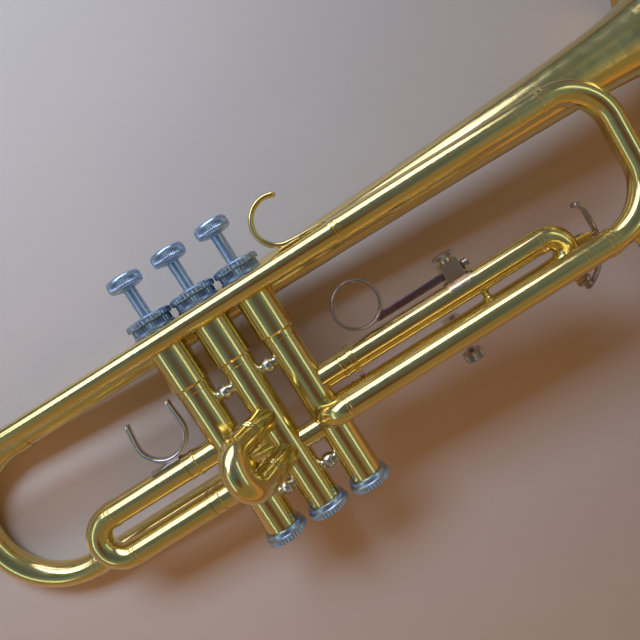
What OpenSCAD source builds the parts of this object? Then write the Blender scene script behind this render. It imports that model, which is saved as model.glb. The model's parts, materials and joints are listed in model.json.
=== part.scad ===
// A B-flat piston trumpet lying on its left side.
// Trumpet frame: +X towards the bell, +Y towards the finger buttons, +Z the side of the leadpipe.
// Its zero is the axis of the second valve, level with the leadpipe, halfway through the valve block.
// lay() puts that frame onto the table: pitched up at the bell, rolled towards the bottom caps.

/* [Resting pose] */
// Upward pitch of the bell end while the trumpet lies on its side, degrees
rest_pitch = 6; // [5:0.1:9]
// Roll towards the bottom caps while it lies on its side, degrees
rest_roll = 2.9; // [0:0.1:8]

/* [Valve block] */
// Distance between neighbouring valve axes
valve_pitch = 26.8; // [26.4:0.1:28]
// Outside diameter of the upper half of a valve casing
upper_casing_d = 21.2; // [21:0.1:22]
// Outside diameter of the lower half of a valve casing
lower_casing_d = 18.7; // [18.6:0.1:19]
// Diameter of a piston
piston_d = 17.1; // [16.8:0.1:17.2]
// Travel of a piston from rest to fully pressed
piston_travel = 15.6; // [14:0.1:15.6]
// Diameter of a finger button
button_d = 19; // [17:0.5:20]
// Diameter of the knurled rim of a top cap
top_cap_d = 26; // [25:0.5:26.4]
// Diameter of a bottom cap
bottom_cap_d = 24; // [23:0.5:25]

/* [Tubing] */
// Bore of the valve slides
bore_d = 11.66; // [11.6:0.02:11.7]
// Outside diameter of a sliding inner tube
inner_tube_d = 12.6; // [12.5:0.05:12.7]
// Outside diameter of an outer slide tube
outer_tube_d = 14; // [13.7:0.1:14.1]
// Radial clearance between an inner and an outer slide tube
slide_clearance = 0.04; // [0.02:0.01:0.1]

/* [Bell and leadpipe] */
// Distance of the leadpipe from the plane of the valve axes
lead_z = 18; // [17.5:0.5:19]
// Distance of the bell from the plane of the valve axes
bell_z = 21.2; // [21.2:0.2:22]
// Radius of the bell at its rim
bell_rim_r = 61.5; // [60:0.5:62]
// Position of the bell rim along the trumpet
bell_rim_x = 324; // [318:1:328]
// Rise of the bell towards its rim, degrees
bell_rise = 1; // [0:0.1:1.2]
// Position of the receiver's mouth along the trumpet
receiver_x = -200; // [-203:1:-196]
// Length of the mouthpiece
mouthpiece_len = 87; // [85:1:89]

/* [Slides] */
// Far outside of the first valve slide's bow
slide_1_end = -121.5; // [-126:0.5:-119]
// Far outside of the second valve slide's bow, along its own axis
slide_2_end = 55; // [53:0.5:58]
// Angle of the second valve slide towards the player, degrees
slide_2_turn = 27; // [24:0.5:30]
// Far outside of the third valve slide's bow
slide_3_end = 188.8; // [184:0.2:190]
// Far outside of the main tuning slide's bow
tuning_end = 233; // [230:0.5:236]

/* [Hidden] */

fn = 64;
brass = "goldenrod";
nickel = "lightsteelblue";
silver = "silver";
cork_brown = "peru";
tiny = 0.01;

// Where the trumpet frame's zero sits over the table.
rest_place = [-32.22, 29.13, 49.45];

bore_r = bore_d / 2;
inner_r = inner_tube_d / 2;
outer_r = outer_tube_d / 2;
slide_r = inner_r + slide_clearance;

// Valve block, up and down the valves.
cap_top = 15.5;
cap_shoulder = 11.8;
cap_rim_bottom = 9.4;
cap_bottom = 6;
casing_top = 11;
ledge = -28.8;
casing_bottom = -121;
bottom_cap_top = -119;
bottom_cap_bottom = -125;
upper_r = upper_casing_d / 2;
lower_r = lower_casing_d / 2;
saddle_r = lower_r + tiny;
piston_r = piston_d / 2;
casing_bore_r = piston_r + 0.05;
upper_bore_r = upper_r - 1;
piston_top = 3;
piston_bottom = -104;
barrel_bottom = -31;
barrel_bore_r = piston_r - 1.1;
guide_h = 2.4;
guide_y = ledge + tiny;
stem_r = 3.35;
button_bottom = 32.3;
button_top = 39.3;
pearl_r = 7.2;
pearl_h = 1.4;
button_felt_h = 1;
thread_gap = 0.03;

// Heights of the tubes on the valves, from the leadpipe.
slide_1_ys = [-64.7, -88.8];
slide_2_ys = [-63.5, -85.5];
slide_3_ys = [-61.9, -80.1];
knuckle_12_y = -77.4;
knuckle_23_y = -84.4;
tuning_low_y = -78.6;
spacer_ys = [-40.7, -102.4];
bell_leg_y = -88;
bell_y = -3.4;

valve_x = [-valve_pitch, 0, valve_pitch];

// Mouthpiece in its receiver, which tapers inwards.
seat_depth = 22;
rim_x = receiver_x + seat_depth - mouthpiece_len;
receiver_bore_r = 4.95;
receiver_taper = 0.025;
lead_start = receiver_x + seat_depth + 2;

// Main tuning slide.
sleeve_r = 6.85;
tuning_bow_r = 6.6;
sleeve_up_start = 77;
sleeve_up_end = 184;
sleeve_low_start = 36.6;
sleeve_low_end = 179.7;
bow_up_x = 201.5;
bow_low_x = 197;
leg_up_start = 92;
leg_low_start = 52;
bow_line_x = tuning_end - tuning_bow_r;
bow_up_radius = bow_line_x - bow_up_x;
bow_low_radius = bow_line_x - bow_low_x;
elbow_radius = sleeve_low_start - valve_pitch;
elbow_r = 6.9;
elbow_collar = 0.5;
ferrule_r = 7.6;

// Bell.
bell_wall = 0.8;
bell_tail_x = -133.8;
bell_tail_r = 7.2;
bell_taper = 0.015;
bell_swell = 0.000024;
flare_length = 46;
flare_power = 4;
bell_steps = 40;
throat_from = 22;
flare_from = 30;
rim_roll_r = 1.5;
bell_bow_r = 7.2;
bell_bow_radius = (bell_y - bell_leg_y) / 2;
leg_start = bell_tail_x + 9.6;

// Valve slides.
slide_1_radius = (slide_1_ys[0] - slide_1_ys[1]) / 2;
slide_1_bow_x = slide_1_end + outer_r + slide_1_radius;
slide_1_seam = -51.5;
slide_1_tube_end = -98;
slide_2_radius = (slide_2_ys[0] - slide_2_ys[1]) / 2;
slide_2_bow_s = slide_2_end - outer_r - slide_2_radius;
slide_2_seam = 25;
slide_2_leg_start = 11;
slide_3_radius = (slide_3_ys[0] - slide_3_ys[1]) / 2;
slide_3_bow_x = slide_3_end - outer_r - slide_3_radius;
slide_3_seam = 51.6;
slide_3_tube_end = 160;

// Third slide finger ring and its holder.
ring_x = 69.9;
ring_y = -38.6;
ring_r = 13.9;
ring_wall = 1.5;
ring_w = 5;
rod_line_y = -50.5;
rod_h = 4.2;
rod_w = 2.6;
rod_end = 133;
rod_gap = 0.06;
holder_x = 122.7;
holder_len = 10.6;
boss_r = 3.4;
screw_seat = -42.45;
holder_w = 8;
ring_screw_r = 5.85;
nut_len = 3.6;
nut_r = 2.9;

// Lyre screw on the third slide.
lyre_x = 112.3;
lyre_z = -9.4;
lyre_screw_r = 1.6;
lyre_head_r = 5.6;
lyre_y = -80.6;
lyre_depth = 19;
lyre_socket_r = 2.2;
lyre_socket_z = -14.6;

// Water keys.
key_pin_r = 0.9;
nipple_r = 3;
cork_r = 3.4;
cork_h = 2.2;
nipple_h = 4.6;
key_pin_h = 5;
key_reach = 11.5;
lever_thick = 1.5;
lever_straight = 9.5;
lever_curl_r = 7.2;
lever_curl = 50;
ear_z = 2.9;
ear_w = 1.4;

// Centre and outer radius of the bow that carries each water key, and the angles round it of the key's
// nipple, its pivot and the end of its round stretch.
main_centre = [bow_low_x, tuning_low_y + bow_low_radius, lead_z];
main_outside = bow_low_radius + tuning_bow_r;
main_angles = [-70, -38, -30];
third_centre = [slide_3_bow_x, (slide_3_ys[0] + slide_3_ys[1]) / 2, 0];
third_outside = slide_3_radius + outer_r - 0.1;
third_angles = [-66, -6, 0];

// ---------------------------------------------------------------- placing and turning

module lay() {
    translate(rest_place) rotate([rest_roll, -rest_pitch, 0]) children();
}

// A ring of material turned about X, Y or Z; the outline is [radius, distance along the axis].
module turned_x(outline) { rotate([0, 90, 0]) rotate_extrude($fn = fn) polygon(outline); }
module turned_y(outline) { rotate([-90, 0, 0]) rotate_extrude($fn = fn) polygon(outline); }
module turned_z(outline) { rotate_extrude($fn = fn) polygon(outline); }

module tube_x(from, to, ro, ri) { turned_x([[ri, from], [ro, from], [ro, to], [ri, to]]); }
module tube_y(from, to, ro, ri) { turned_y([[ri, from], [ro, from], [ro, to], [ri, to]]); }
module tube_z(from, to, ro, ri) { turned_z([[ri, from], [ro, from], [ro, to], [ri, to]]); }
module rod_z(from, to, r) { translate([0, 0, from]) cylinder(h = to - from, r = r, $fn = fn); }
module rod_x(from, to, r) { rotate([0, 90, 0]) rod_z(from, to, r); }
module rod_y(from, to, r) { rotate([-90, 0, 0]) rod_z(from, to, r); }

// A bent tube in the XY plane: its centre line turns about Z at the given radius.
module bend(radius, angle, ro, ri) {
    rotate_extrude(angle = angle, $fn = fn) translate([radius, 0]) difference() {
        circle(r = ro, $fn = fn);
        circle(r = ri, $fn = fn);
    }
}

// Points along an arc in the XY plane.
function arc(cx, cy, r, from, to, n) =
    [for (i = [0:n]) let (a = from + (to - from) * i / n) [cx + r * cos(a), cy + r * sin(a)]];

// A strip of even thickness between two arcs or routes, standing w wide across Z.
module strip(outside, inside, w) {
    backwards = [for (i = [len(inside) - 1:-1:0]) inside[i]];
    translate([0, 0, -w / 2]) linear_extrude(w) polygon(concat(outside, backwards));
}

// ---------------------------------------------------------------- mouthpipe

function cup_r(s) = 8.3 * sqrt(max(0, 1 - pow(s / 12.4, 2)));

// Cup rim, cup body, throat and tapered shank.
module mouthpiece() {
    throat_r = 1.85;
    throat = 12.1;
    mouth_r = receiver_bore_r - 0.05;
    tip_r = mouth_r - seat_depth * receiver_taper;
    outside = [[13.1, 0.3], [13.6, 1.6], [13.5, 3.4], [12.9, 5.4], [12.5, 11], [11, 18], [8.4, 25], [6, 30],
        [4.6, 35], [4.3, 42], [4.6, 43], [4.6, 44], [mouth_r, mouthpiece_len - seat_depth],
        [tip_r, mouthpiece_len]];
    inside = [[tip_r - 0.5, mouthpiece_len], [2.6, 50], [throat_r, 22], [throat_r, throat]];
    cup = [for (i = [10:-1:0]) let (s = 12 * i / 10) [max(throat_r, cup_r(s)) + 0.25, s + 0.05]];
    lip = [[9.2, -0.1], [11, -0.35]];
    color(silver) lay() translate([rim_x, 0, lead_z]) turned_x(concat(outside, inside, cup, lip));
}

// Socket for the mouthpiece, with a bead at its mouth.
module receiver() {
    end_x = receiver_x + 30;
    seat_r = receiver_bore_r - 23.9 * receiver_taper;
    color(nickel) lay() translate([0, 0, lead_z]) turned_x([
        [receiver_bore_r, receiver_x], [7.6, receiver_x], [8.1, receiver_x + 0.8], [8.1, receiver_x + 2.4],
        [7.6, receiver_x + 3.2], [7, receiver_x + 4], [6.7, end_x - 3.4], [7.1, end_x - 3],
        [7.1, end_x - 1.4],
        [6.2, end_x], [5, end_x], [5, lead_start - tiny], [seat_r, lead_start - tiny]]);
}

// Tapered mouthpipe.
module leadpipe() {
    color(brass) lay() translate([0, 0, lead_z]) turned_x([
        [4.4, lead_start], [5, lead_start], [5, lead_start + 8], [5.15, -67], [5.6, 10], [6.2, 72],
        [6.25, 76],
        [6.25, 84], [bore_r, 84], [bore_r, 60], [5.1, 10], [4.65, -67]]);
}

// ---------------------------------------------------------------- main tuning slide

// Fixed outer sleeve with a collar of two fine beads at its start.
module sleeve(from, to, collar_r) {
    collar = from + 7;
    turned_x([[collar_r, from], [7.1, from], [7.1, from + 1.2], [6.8, from + 1.6], [6.8, from + 3],
        [7.35, from + 3.3], [7.35, from + 4.3], [sleeve_r, from + 4.6], [sleeve_r, to - 1.2],
        [7.1, to - 1], [7.1, to],
        [slide_r, to], [slide_r, collar], [collar_r, collar]]);
}

module tuning_sleeves() {
    color(brass) lay() {
        translate([0, 0, lead_z]) sleeve(sleeve_up_start, sleeve_up_end, 6.25);
        translate([0, tuning_low_y, lead_z]) sleeve(sleeve_low_start, sleeve_low_end, bore_r);
    }
}

// Moving inner leg that ends in the bow's ferrule.
module tuning_leg(from, sleeve_end, bow_x) {
    start = sleeve_end + tiny;
    turned_x([[bore_r, from], [inner_r, from], [inner_r, start], [7.1, start], [7.1, start + 1],
        [sleeve_r, start + 1.3], [sleeve_r, bow_x - 4.6], [7.35, bow_x - 4.2], [7.35, bow_x - 3.2],
        [sleeve_r, bow_x - 2.8], [sleeve_r, bow_x - 1.6],
        [7.35, bow_x - 1.2], [7.35, bow_x - tiny], [bore_r, bow_x - tiny]]);
}

module tuning_legs() {
    color(brass) lay() {
        translate([0, 0, lead_z]) tuning_leg(leg_up_start, sleeve_up_end, bow_up_x);
        translate([0, tuning_low_y, lead_z]) tuning_leg(leg_low_start, sleeve_low_end, bow_low_x);
    }
}

// D-shaped bow of the main tuning slide, in two bends and a short straight, with its water key's seat.
module tuning_bow() {
    straight = -tuning_low_y - bow_up_radius - bow_low_radius;
    color(brass) lay() difference() {
        union() {
            translate([bow_up_x, -bow_up_radius, lead_z]) bend(bow_up_radius, 90, tuning_bow_r, bore_r);
            translate([bow_line_x, -bow_up_radius - straight, lead_z])
                tube_y(0, straight, tuning_bow_r, bore_r);
            translate(main_centre) rotate([0, 0, -90]) bend(bow_low_radius, 90, tuning_bow_r, bore_r);
            key_seat(main_centre, main_outside, main_angles[0], main_angles[1]);
        }
        nipple_bore(main_centre, main_outside, main_angles[0]);
    }
}

// ---------------------------------------------------------------- bell

function bell_cone(d) = bell_tail_r + bell_taper * d + bell_swell * d * d;
bell_flare_r = bell_rim_r - bell_cone(bell_rim_x - bell_tail_x);
function bell_r(x) = bell_cone(x - bell_tail_x)
    + bell_flare_r / pow(1 + (bell_rim_x - x) / flare_length, flare_power);

// Stations crowd towards the rim, where the flare turns fastest.
function bell_station(i) = bell_rim_x - (bell_rim_x - bell_tail_x - 3) * pow(1 - i / bell_steps, 2.2);

module bell_frame() {
    translate([bell_tail_x, bell_y, -bell_z]) rotate([0, 0, bell_rise])
        translate([-bell_tail_x, 0, 0]) children();
}

// Outside and inside of the bell between two stations, each as [radius, distance].
function bell_outside(from, to, grow) =
    [for (i = [from:to]) let (x = bell_station(i)) [bell_r(x) + grow, i == from ? x + tiny : x]];
function bell_inside(from, to) =
    [for (i = [to:-1:from]) let (x = bell_station(i)) [bell_r(x) - bell_wall, i == from ? x + tiny : x]];

module bell_ring(from, to) {
    color(brass) lay() bell_frame() turned_x(concat(bell_outside(from, to, 0), bell_inside(from, to)));
}

module bell_stem() { bell_ring(0, throat_from); }
module bell_throat() { bell_ring(throat_from, flare_from); }

// Flare with a rolled rim.
module bell_flare() {
    roll = arc(bell_rim_r - 0.4, bell_rim_x - 1, rim_roll_r, -60, 120, 8);
    color(brass) lay() bell_frame() turned_x(concat(
        bell_outside(flare_from, bell_steps - 2, 0), roll, bell_inside(flare_from, bell_steps - 2)));
}

// The two ferrules that join the bow to the bell's tail and to the leg.
module bow_ferrules() {
    color(brass) lay() {
        bell_frame() tube_x(bell_tail_x + 0.6, bell_tail_x + 9, 7.9, bell_r(bell_tail_x + 9) + tiny);
        translate([0, bell_leg_y, -bell_z]) turned_x([[bore_r, bell_tail_x + tiny], [7.9, bell_tail_x + tiny],
            [7.9, bell_tail_x + 1.4], [7.5, bell_tail_x + 1.8], [7.5, bell_tail_x + 8],
            [7.9, bell_tail_x + 8.4], [7.9, leg_start - tiny], [bore_r, leg_start - tiny]]);
    }
}

module bell_bow() {
    color(brass) lay() translate([bell_tail_x, (bell_y + bell_leg_y) / 2, -bell_z]) rotate([0, 0, 90])
        bend(bell_bow_radius, 180, bell_bow_r, bell_bow_r - 0.8);
}

// Straight tube between the bow and the first valve's elbow.
module bell_leg() {
    color(brass) lay() translate([0, bell_leg_y, -bell_z])
        tube_x(leg_start, -valve_pitch - elbow_radius - tiny, 6.7, bore_r);
}

// ---------------------------------------------------------------- valve block

// Everything that a tube on a valve is trimmed with: the casing's own outside.
module casing_trim(i) { translate([valve_x[i], 0, 0]) rod_y(casing_bottom, ledge, saddle_r); }

// An elbow that leaves a casing sideways and turns to run along the trumpet, z away from the valves.
module elbow(z) {
    stub = z - elbow_radius;
    difference() {
        union() {
            translate([elbow_radius, 0, stub]) rotate([90, 0, 0]) rotate([0, 0, 90])
                bend(elbow_radius, 90, elbow_r, bore_r);
            tube_z(2, stub + 0.8, elbow_r + elbow_collar, bore_r);
        }
        rod_y(-20, 20, saddle_r);
    }
}

// The valve-side ferrule of a slide, as the space that its neighbours are trimmed to.
module ferrule_trim(y) { translate([0, y, 0]) rod_x(0, 30, ferrule_r + tiny); }

// The elbow from the main tuning slide to the third valve, and the one from the first valve to the bell.
module valve_elbows() {
    color(brass) lay() {
        translate([valve_pitch, 0, 0]) difference() {
            translate([0, tuning_low_y, 0]) elbow(lead_z);
            ferrule_trim(slide_3_ys[1]);
        }
        translate([-valve_pitch, 0, 0]) rotate([0, 180, 0]) difference() {
            translate([0, bell_leg_y, 0]) elbow(bell_z);
            ferrule_trim(slide_1_ys[1]);
        }
    }
}

// Holes where the tubes of a valve open into its casing.
module ports(i) {
    side = 20;
    rows = [[slide_1_ys[0], slide_1_ys[1]], [slide_2_ys[0], slide_2_ys[1]], [slide_3_ys[0], slide_3_ys[1]]];
    turns = [180, -90 - slide_2_turn, 0];
    for (y = rows[i]) translate([0, y, 0]) rotate([0, turns[i], 0]) rod_x(0, side, bore_r);
    if (i == 0) translate([0, bell_leg_y, 0]) rod_z(-side, 0, bore_r);
    if (i == 2) translate([0, tuning_low_y, 0]) rod_z(0, side, bore_r);
    if (i < 2) translate([0, i == 0 ? knuckle_12_y : knuckle_23_y, 0]) rod_x(0, side, bore_r);
    if (i > 0) translate([0, i == 1 ? knuckle_12_y : knuckle_23_y, 0]) rod_x(-side, 0, bore_r);
}

// Casing: wide spring chamber above the ledge, close bore for the piston below it.
module casing(i) {
    color(brass) lay() translate([valve_x[i], 0, 0]) difference() {
        turned_y([
            [casing_bore_r, casing_bottom], [lower_r, casing_bottom], [lower_r, ledge - 3.4],
            [lower_r + 0.35, ledge - 3], [lower_r + 0.35, ledge], [upper_r, ledge + 1.2],
            [upper_r, casing_top], [upper_bore_r, casing_top], [upper_bore_r, ledge],
            [casing_bore_r, ledge]]);
        ports(i);
    }
}

module casing_1() { casing(0); }
module casing_2() { casing(1); }
module casing_3() { casing(2); }

// Short tubes that carry the air between neighbouring valves.
module valve_knuckles() {
    spots = [[0, knuckle_12_y], [1, knuckle_23_y]];
    color(brass) lay() for (s = spots) difference() {
        translate([0, s[1], 0]) tube_x(valve_x[s[0]] + 2, valve_x[s[0] + 1] - 2, inner_r, bore_r);
        casing_trim(s[0]);
        casing_trim(s[0] + 1);
        for (y = slide_2_ys) translate([0, y, 0]) along_slide_2() rod_x(0, 20, ferrule_r + tiny);
        translate([valve_x[2], tuning_low_y, 0]) rod_z(0, 12, elbow_r + elbow_collar + tiny);
        translate([valve_x[0], bell_leg_y, 0]) rod_z(-14, 0, elbow_r + elbow_collar + tiny);
    }
}

// Turned beads that brace neighbouring casings.
module casing_spacers() {
    color(brass) lay() for (i = [0, 1]) for (y = spacer_ys) translate([0, y, 0]) difference() {
        translate([(valve_x[i] + valve_x[i + 1]) / 2, 0, 0]) turned_x(concat(
            [[0, -6], [2.9, -6], [2.9, -3.4]], [for (a = [-60:20:60]) [2.6 + 1.8 * cos(a), 3 * sin(a)]],
            [[2.9, 3.4], [2.9, 6], [0, 6]]));
        for (x = [valve_x[i], valve_x[i + 1]]) translate([x, 0, 0]) rod_y(-6, 6, saddle_r);
    }
}

// Screwed cap over the spring chamber, with a knurled rim and a hole for the stem.
module top_cap(i) {
    rim = top_cap_d / 2;
    bore = upper_r + thread_gap;
    color(nickel) lay() translate([valve_x[i], 0, 0]) turned_y([
        [bore, cap_bottom], [rim - 1.2, cap_bottom], [rim - 0.9, cap_bottom + 0.5],
        [rim - 1.4, cap_rim_bottom - 0.4], [rim - 0.4, cap_rim_bottom], [rim, cap_rim_bottom + 0.6],
        [rim, cap_shoulder], [rim - 0.5, cap_shoulder + 0.7],
        [rim - 2.4, cap_shoulder + 1.1], [rim - 2.6, cap_top - 0.8], [rim - 3.6, cap_top - 0.2],
        [stem_r + 2.4, cap_top], [stem_r + 0.25, cap_top], [stem_r + 0.25, cap_shoulder],
        [bore, cap_shoulder]]);
}

module top_cap_1() { top_cap(0); }
module top_cap_2() { top_cap(1); }
module top_cap_3() { top_cap(2); }

// Screwed cap under a valve, with a knurled rim and a small breathing hole.
module bottom_cap(i) {
    rim = bottom_cap_d / 2;
    bore = lower_r + thread_gap;
    color(nickel) lay() translate([valve_x[i], 0, 0]) turned_y([
        [2.5, bottom_cap_bottom - 1.4], [4.6, bottom_cap_bottom - 1.4], [6.6, bottom_cap_bottom - 0.4],
        [rim - 2.2, bottom_cap_bottom], [rim - 0.6, bottom_cap_bottom + 0.4], [rim, bottom_cap_bottom + 1.2],
        [rim, bottom_cap_top - 2], [rim - 0.6, bottom_cap_top - 1.4], [rim - 1.6, bottom_cap_top - 1],
        [rim - 1.6, bottom_cap_top], [bore, bottom_cap_top], [bore, casing_bottom - tiny],
        [rim - 4, casing_bottom - tiny], [rim - 4, bottom_cap_bottom + 1.4], [2.5, bottom_cap_bottom + 0.6]]);
}

module bottom_cap_1() { bottom_cap(0); }
module bottom_cap_2() { bottom_cap(1); }
module bottom_cap_3() { bottom_cap(2); }

// Guides that stand on the casings' ledges and keep the pistons from turning.
module valve_guides() {
    color("ivory") lay() for (x = valve_x) translate([x, guide_y, 0]) difference() {
        union() {
            rod_y(0, guide_h, barrel_bore_r - 0.4);
            translate([-2.6, 0, -upper_bore_r + 0.5]) cube([5.2, guide_h, 2 * upper_bore_r - 1]);
        }
        translate([0, -1, 0]) rod_y(0, guide_h + 2, 2);
    }
}

// Felt washers inside the top caps.
module cap_felts() {
    color("crimson") lay() for (x = valve_x) translate([x, 0, 0])
        tube_y(piston_top + 1, cap_shoulder - tiny, 8, stem_r + 0.6);
}

// Piston: ported body below, windowed spring barrel above.
module piston(i) {
    window = 6;
    color("gainsboro") lay() translate([valve_x[i], 0, 0]) difference() {
        turned_y([[0, piston_bottom + 1], [4, piston_bottom + 1], [4, piston_bottom],
            [piston_r, piston_bottom], [piston_r, piston_top], [stem_r, piston_top],
            [stem_r, piston_top - 2], [barrel_bore_r, piston_top - 2],
            [barrel_bore_r, barrel_bottom], [0, barrel_bottom]]);
        translate([-window / 2, guide_y - 0.3, -piston_r - 1])
            cube([window, piston_travel + guide_h + 1, 2 * piston_r + 2]);
        for (port = [[0, 90 * i], [piston_travel, 45 + 30 * i]])
            translate([0, tuning_low_y + port[0], 0]) rotate([0, port[1], 0]) rod_x(-20, 20, bore_r - 0.6);
    }
}

module piston_1() { piston(0); }
module piston_2() { piston(1); }
module piston_3() { piston(2); }

// Stem, felt and dished finger button.
module button(i) {
    r = button_d / 2;
    color(nickel) lay() translate([valve_x[i], 0, 0]) turned_y([
        [0, piston_top - 1.9], [stem_r - 0.05, piston_top - 1.9], [stem_r - 0.05, piston_top + 0.4],
        [stem_r - 0.6, piston_top + 0.6], [stem_r - 0.6, piston_top + 1], [stem_r, piston_top + 1.2],
        [stem_r, button_bottom - button_felt_h],
        [stem_r + 2.2, button_bottom - button_felt_h], [stem_r + 2.2, button_bottom],
        [r - 1.4, button_bottom], [r - 0.5, button_bottom + 0.5], [r, button_bottom + 1.6],
        [r, button_top - 2], [r - 0.5, button_top - 0.7], [r - 1.4, button_top],
        [pearl_r + tiny, button_top], [pearl_r + tiny, button_top - pearl_h], [0, button_top - pearl_h]]);
}

module button_1() { button(0); }
module button_2() { button(1); }
module button_3() { button(2); }

// Shallow dished pearl inlay of a button.
module pearl(i) {
    dish = [for (k = [0:4]) let (r = pearl_r * k / 4) [r, button_top - 0.7 + 0.5 * pow(k / 4, 2)]];
    color("white") lay() translate([valve_x[i], 0, 0])
        turned_y(concat([[0, button_top - pearl_h + tiny]], dish, [[pearl_r, button_top - pearl_h + tiny]]));
}

module pearl_1() { pearl(0); }
module pearl_2() { pearl(1); }
module pearl_3() { pearl(2); }

// Return spring between the guide and the top of the barrel: a round wire wound about Y.
module valve_spring(i) {
    turns = 8;
    steps = 14;
    sides = 6;
    wire_r = 0.45;
    coil_r = 5.6;
    from = guide_y + guide_h + wire_r + 0.1;
    rise = piston_top - 2.1 - wire_r - from;
    n = turns * steps;
    points = [for (k = [0:n]) for (q = [0:sides - 1])
        let (a = 360 * k / steps, b = 360 * q / sides, r = coil_r + wire_r * cos(b))
        [r * cos(a), from + rise * k / n + wire_r * sin(b), r * sin(a)]];
    wall = [for (k = [0:n - 1]) for (q = [0:sides - 1]) let (p = (q + 1) % sides)
        [k * sides + q, k * sides + p, (k + 1) * sides + p, (k + 1) * sides + q]];
    near = [[for (q = [sides - 1:-1:0]) q]];
    far = [[for (q = [0:sides - 1]) n * sides + q]];
    color("dimgray") lay() translate([valve_x[i], 0, 0])
        polyhedron(points = points, faces = concat(wall, near, far), convexity = 10);
}

module valve_spring_1() { valve_spring(0); }
module valve_spring_2() { valve_spring(1); }
module valve_spring_3() { valve_spring(2); }

// ---------------------------------------------------------------- valve slides

// Fixed inner tube with its ferrule, from the casing at the zero out to x = reach.
module fixed_inner(reach, ferrule_end) {
    turned_x([[bore_r, 2], [7.1, 2], [7.1, ferrule_end - 6], [ferrule_r, ferrule_end - 5.4],
        [ferrule_r, ferrule_end - 4], [7.1, ferrule_end - 3.6], [7.1, ferrule_end], [inner_r, ferrule_end],
        [inner_r, reach], [bore_r, reach]]);
}

module slide_1_inner_tubes() {
    color(silver) lay() for (y = slide_1_ys) difference() {
        translate([valve_x[0], y, 0]) mirror([1, 0, 0])
            fixed_inner(valve_x[0] - slide_1_tube_end, valve_x[0] - slide_1_seam);
        casing_trim(0);
    }
}

module slide_3_inner_tubes() {
    color(silver) lay() for (y = slide_3_ys) difference() {
        translate([valve_x[2], y, 0]) fixed_inner(slide_3_tube_end - valve_x[2], slide_3_seam - valve_x[2]);
        casing_trim(2);
    }
}

// Outline of a moving outer tube: the given start, then the two fine beads at the bow's end.
function moving_end(to, start) = concat(start, [[outer_r, to - 3.4], [outer_r + 0.3, to - 3.1],
    [outer_r + 0.3, to - 2.1], [outer_r, to - 1.8], [outer_r, to - 1.1], [outer_r + 0.3, to - 0.8],
    [outer_r + 0.3, to - tiny], [slide_r, to - tiny]]);

module slide_1_outer_tubes() {
    from = tiny - slide_1_seam;
    bead = 7.4;
    color(brass) lay() for (y = slide_1_ys) translate([0, y, 0]) mirror([1, 0, 0])
        turned_x(moving_end(-slide_1_bow_x, [[slide_r, from], [bead, from + 0.2], [bead, from + 1.1],
            [outer_r, from + 1.5]]));
}

module slide_1_bow() {
    color(brass) lay() translate([slide_1_bow_x, (slide_1_ys[0] + slide_1_ys[1]) / 2, 0]) rotate([0, 0, 90])
        bend(slide_1_radius, 180, outer_r - 0.1, bore_r);
}

module slide_3_outer_tubes() {
    from = slide_3_seam + tiny;
    bead = 8.4;
    groove = 7.6;
    color(brass) lay() for (y = slide_3_ys) translate([0, y, 0]) {
        turned_x(moving_end(slide_3_bow_x, [[slide_r, from], [bead - 0.3, from], [bead, from + 0.3],
            [bead, from + 0.9], [groove, from + 1.2], [groove, from + 1.6], [bead, from + 1.9],
            [bead, from + 2.5], [bead - 0.3, from + 2.8], [outer_r, from + 3.1]]));
    }
}

module slide_3_bow() {
    color(brass) lay() difference() {
        union() {
            translate(third_centre) rotate([0, 0, -90]) bend(slide_3_radius, 180, outer_r - 0.1, bore_r);
            key_seat(third_centre, third_outside, third_angles[0], third_angles[1]);
        }
        nipple_bore(third_centre, third_outside, third_angles[0]);
    }
}

// Turns X onto the second slide's own axis, out to the leadpipe side and back to the player.
module along_slide_2() { rotate([0, -90 - slide_2_turn, 0]) children(); }

// Fixed outer sleeves of the second slide, with a bead at their mouths.
module slide_2_sleeves() {
    end = slide_2_seam;
    color(brass) lay() for (y = slide_2_ys) difference() {
        translate([0, y, 0]) along_slide_2() turned_x([[bore_r, 2], [outer_r, 2], [outer_r, end - 2.2],
            [ferrule_r - 0.1, end - 1.8], [ferrule_r - 0.1, end - 0.4], [outer_r, end], [slide_r, end],
            [slide_r, slide_2_leg_start - 0.4], [bore_r, slide_2_leg_start - 0.4]]);
        casing_trim(1);
    }
}

// Moving legs of the second slide, each ending in a ferrule of the bow.
module slide_2_legs() {
    start = slide_2_seam + tiny;
    color(brass) lay() for (y = slide_2_ys) translate([0, y, 0]) along_slide_2() turned_x([
        [bore_r, slide_2_leg_start], [inner_r, slide_2_leg_start], [inner_r, start], [outer_r, start],
        [ferrule_r - 0.1, start + 0.4], [ferrule_r - 0.1, start + 1.6], [outer_r, start + 2],
        [outer_r, slide_2_bow_s - tiny], [bore_r, slide_2_bow_s - tiny]]);
}

module slide_2_bow() {
    color(brass) lay() translate([0, (slide_2_ys[0] + slide_2_ys[1]) / 2, 0]) along_slide_2()
        translate([slide_2_bow_s, 0, 0]) rotate([0, 0, -90]) bend(slide_2_radius, 180, outer_r, bore_r);
}

// ---------------------------------------------------------------- hooks and braces

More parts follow.
